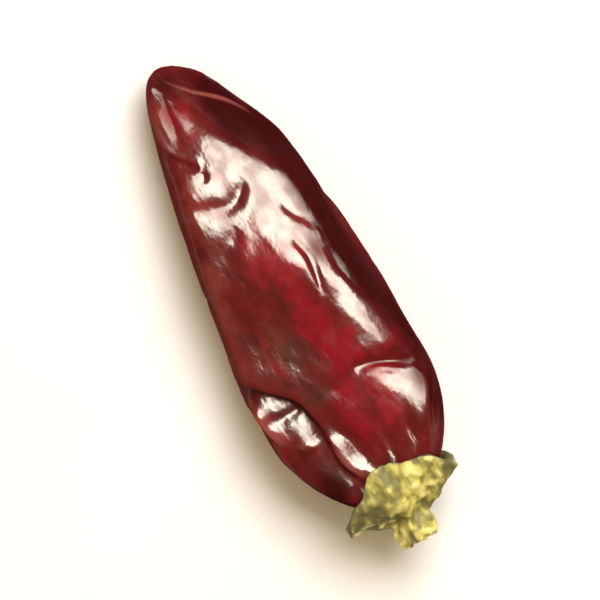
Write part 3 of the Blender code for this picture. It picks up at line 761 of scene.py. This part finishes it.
def skinColour(tree, blotch):
    f = skinFinish
    mottle, fleck = grain(tree, *f["mottle"]), grain(tree, *f["fleck"])
    dulling, fold = grain(tree, *f["dulling"]), readMesh(tree, "fold")
    red = sums(tree, "ADD", readMesh(tree, "crimson"), between(tree, mottle, *f["redMottle"]))
    dull = sums(tree, "ADD", readMesh(tree, "olive"), between(tree, dulling, *f["dullMottle"]))
    paintedFlankLightAndMottle = sums(tree, "ADD", readMesh(tree, "brown"), between(tree, mottle, *f["brownMottle"]))
    colour = mixColours(tree, between(tree, red, *f["redRange"]), f["maroon"], f["crimson"])
    # each of these lies over the ones before it
    for value, reach, tint in (
        (dull, "dullRange", "olive"),
        # painted bounce light on the +Y flank, broken up by random mottle
        (paintedFlankLightAndMottle, "paintedFlankLightRange", "brown"),
        (blotch, "paleBlotch", "pale"),
        (blotch, "darkBlotch", "creaseShadeAndFleck"),
        (fleck, "darkFleck", "creaseShadeAndFleck"),
        # painted shade on the shaded patches
        (readMesh(tree, "paintedShade"), "paintedShadeRange", "paintedShade"),
        # painted shade in creases
        (fold, "creaseShadeRange", "creaseShadeAndFleck"),
        # painted highlight along raised ribs
        (fold, "ribHighlightRange", "rib"),
    ):
        colour = mixColours(tree, between(tree, value, *f[reach]), colour, f[tint])
    return colour


def skinWax(tree, blotch):
    # the share of the coat: whole where the skin faces up, thin on worn and rubbed places and under the
    # painted shade
    f = skinFinish
    wear = sums(tree, "ADD", blotch, sums(tree, "MULTIPLY", readMesh(tree, "rubbed"), f["rubbedShare"]))
    waxed = between(tree, readMesh(tree, "waxed"), 0.0, 1.0, f["coatAtFlanks"], f["coat"])
    waxed = sums(tree, "MULTIPLY", waxed, between(tree, wear, *f["wearRange"], *f["coatWorn"]))
    for name in ("rubbed", "paintedShade"):
        kept = between(tree, readMesh(tree, name), 0.0, 1.0, 1.0, f["leastWax"])
        waxed = sums(tree, "MULTIPLY", waxed, kept)
    return waxed


def skinMaterial():
    f = skinFinish
    made, tree, skin = newMaterial("waxyDriedSkin")
    blotch = grain(tree, *f["blotch"])
    tree.links.new(skinColour(tree, blotch), skin.inputs["Base Color"])
    worn = between(tree, grain(tree, *f["worn"]), *f["wornRange"], *f["roughness"])
    tree.links.new(worn, skin.inputs["Roughness"])
    tree.links.new(skinWax(tree, blotch), skin.inputs["Coat Weight"])
    skin.inputs["Coat Roughness"].default_value = f["coatRoughness"]
    skin.inputs["Specular IOR Level"].default_value = f["shine"]
    skin.inputs["Subsurface Weight"].default_value = f["glow"]
    skin.inputs["Subsurface Radius"].default_value = f["glowReach"]
    skin.inputs["Subsurface Scale"].default_value = mm
    pores = sums(tree, "MULTIPLY", grain(tree, *f["pores"]), f["poreShare"])
    normal = bumpOf(tree, sums(tree, "ADD", pores, grain(tree, *f["ripple"])), *f["bump"])
    tree.links.new(normal, skin.inputs["Normal"])
    tree.links.new(normal, skin.inputs["Coat Normal"])
    print("skin material made")
    return made


calyxFinish = {
    "straw": (0.66, 0.57, 0.13),
    "green": (0.33, 0.3, 0.058),
    # olive is the cap's own colour and also the painted shade in grooves
    "olive": (0.125, 0.11, 0.03),
    "brown": (0.15, 0.075, 0.025),
    # the colour of the painted highlight on the crinkles' ridges
    "pale": (0.86, 0.76, 0.28),
    "roughness": (0.6, 0.85),
    "bend": 1.4,                  # the index of refraction
    "bump": (0.5, 0.1),
    "streak": (0.8, 2.0, (2.5, 1, 1)),
    "speck": (0.5, 2.0, (3, 1, 1)),
    "fibres": (0.28, 3.0, (4, 1, 1)),
    "streakRange": (0.35, 0.65, -0.3, 0.3),
    "greenRange": (0.0, 0.75),
    "strawRange": (0.55, 1.15),
    # painted shade in the crinkles' grooves and a painted highlight on their ridges
    "grooveShadeRange": (0.02, -0.12, 0.0, 0.85),
    "ridgeHighlightRange": (0.04, 0.17, 0.0, 0.9),
    "speckRange": (0.58, 0.72, 0.0, 0.5),
    "fibreRange": (0.3, 0.7),
}


def calyxMaterial():
    f = calyxFinish
    made, tree, dry = newMaterial("dryGreenCalyx")
    streak, ridge = between(tree, grain(tree, *f["streak"]), *f["streakRange"]), readMesh(tree, "ridge")
    # the change from olive to green to straw round the cap is painted light where it faces the lamps, and
    # real pale colour on the stub and in streaks
    paleAndPaintedLight = sums(tree, "ADD", readMesh(tree, "paleAndPaintedLight"), streak)
    colour = mixColours(tree, between(tree, paleAndPaintedLight, *f["greenRange"]), f["olive"], f["green"])
    for value, reach, tint in (
        (paleAndPaintedLight, "strawRange", "straw"),
        # painted shade in the grooves
        (ridge, "grooveShadeRange", "olive"),
        # painted highlight on the ridges
        (ridge, "ridgeHighlightRange", "pale"),
        (grain(tree, *f["speck"]), "speckRange", "brown"),
    ):
        colour = mixColours(tree, between(tree, value, *f[reach]), colour, f[tint])
    tree.links.new(colour, dry.inputs["Base Color"])
    fibres = grain(tree, *f["fibres"])
    tree.links.new(between(tree, fibres, *f["fibreRange"], *f["roughness"]), dry.inputs["Roughness"])
    dry.inputs["IOR"].default_value = f["bend"]
    tree.links.new(bumpOf(tree, fibres, *f["bump"]), dry.inputs["Normal"])
    print("calyx material made")
    return made


tableTop = {
    "half": 0.6,                  # in metres
    "colour": (0.86, 0.855, 0.84),
    "mottle": (0.84, 0.83, 0.81),
    "grain": (30.0, 2.0),
    "grainRange": (0.35, 0.65),
    "roughness": 0.9,
    "shine": 0.1,
}


def makeTable():
    t = tableTop
    h = t["half"] / mm
    corners = np.array([(-h, -h, 0), (h, -h, 0), (h, h, 0), (-h, h, 0)], float)
    piece = toMesh("paleTable", corners, [(0, 1, 2, 3)])
    made, tree, flat = newMaterial("paleTableTop")
    mottled = between(tree, grain(tree, *t["grain"]), *t["grainRange"])
    tree.links.new(mixColours(tree, mottled, t["colour"], t["mottle"]), flat.inputs["Base Color"])
    flat.inputs["Roughness"].default_value = t["roughness"]
    flat.inputs["Specular IOR Level"].default_value = t["shine"]
    piece.data.materials.append(made)
    print("table made")


# viewFrom, size and away are in metres, frameHeight and lookAt in millimetres, and angles in degrees
studio = {
    "viewFrom": 0.5, "sensor": 36.0, "frameHeight": 52.0, "lookAt": (-0.25, -0.8, 5.0), "roll": -121.9,
    "air": 0.11, "airColour": (1.0, 0.78, 0.48),
    "key": {"tilt": (16, -26), "size": 0.36, "away": 0.6, "power": 4.4, "colour": (1.0, 1.0, 1.03)},
    "glint": {"tilt": (20, -15), "size": 0.42, "away": 0.6, "power": 15.5, "colour": (1.0, 0.98, 0.82)},
    "fill": {"tilt": (-5, 8), "size": 1.4, "away": 0.9, "power": 6.0, "colour": (1.0, 0.77, 0.46)},
}


def softbox(name, spec, target):
    tiltX, tiltY = (math.tan(math.radians(t)) for t in spec["tilt"])
    towards = Vector((tiltX, tiltY, 1)).normalized()
    light = bpy.data.lights.new(name, "AREA")
    light.shape, light.size = "SQUARE", spec["size"]
    light.energy, light.color = spec["power"], spec["colour"]
    lamp = bpy.data.objects.new(name, light)
    bpy.context.scene.collection.objects.link(lamp)
    lamp.location = target + towards * spec["away"]
    lamp.rotation_mode = "QUATERNION"
    lamp.rotation_quaternion = towards.to_track_quat("Z", "Y")
    lamp.visible_camera = False
    return lamp


def setStudio():
    s = studio
    target = Vector(s["lookAt"]) * mm
    camera = bpy.data.objects.new("straightDown", bpy.data.cameras.new("straightDown"))
    bpy.context.scene.collection.objects.link(camera)
    camera.location = target + Vector((0, 0, s["viewFrom"]))
    camera.rotation_mode = "QUATERNION"
    camera.rotation_quaternion = Quaternion((0, 0, 1), math.radians(s["roll"]))
    camera.data.sensor_width = s["sensor"]
    camera.data.lens = s["sensor"] * s["viewFrom"] / (s["frameHeight"] * mm)
    bpy.context.scene.camera = camera
    key = softbox("key", s["key"], target)
    key.visible_glossy = False       # lights the skin and the table and is not mirrored
    glint = softbox("glint", s["glint"], target)
    glint.visible_diffuse = False    # a wide soft reflection in the skin alone
    fill = softbox("fill", s["fill"], target)
    fill.visible_glossy = False      # lightens the shade and leaves no sheen on the dark skin
    air = bpy.data.worlds.new("softAir")
    air.use_nodes = True
    air.node_tree.nodes["Background"].inputs["Color"].default_value = (*s["airColour"], 1)
    air.node_tree.nodes["Background"].inputs["Strength"].default_value = s["air"]
    bpy.context.scene.world = air
    bpy.context.scene.view_settings.view_transform = "Standard"
    print("studio set")


podSkin, podSeat = makePod()
podSkin.data.materials.append(skinMaterial())
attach(podSkin, "root")
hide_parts("pod")

calyxCap = makeCalyx(podSeat)
calyxCap.data.materials.append(calyxMaterial())
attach(calyxCap, "root")
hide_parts("calyx")

makeTable()
setStudio()
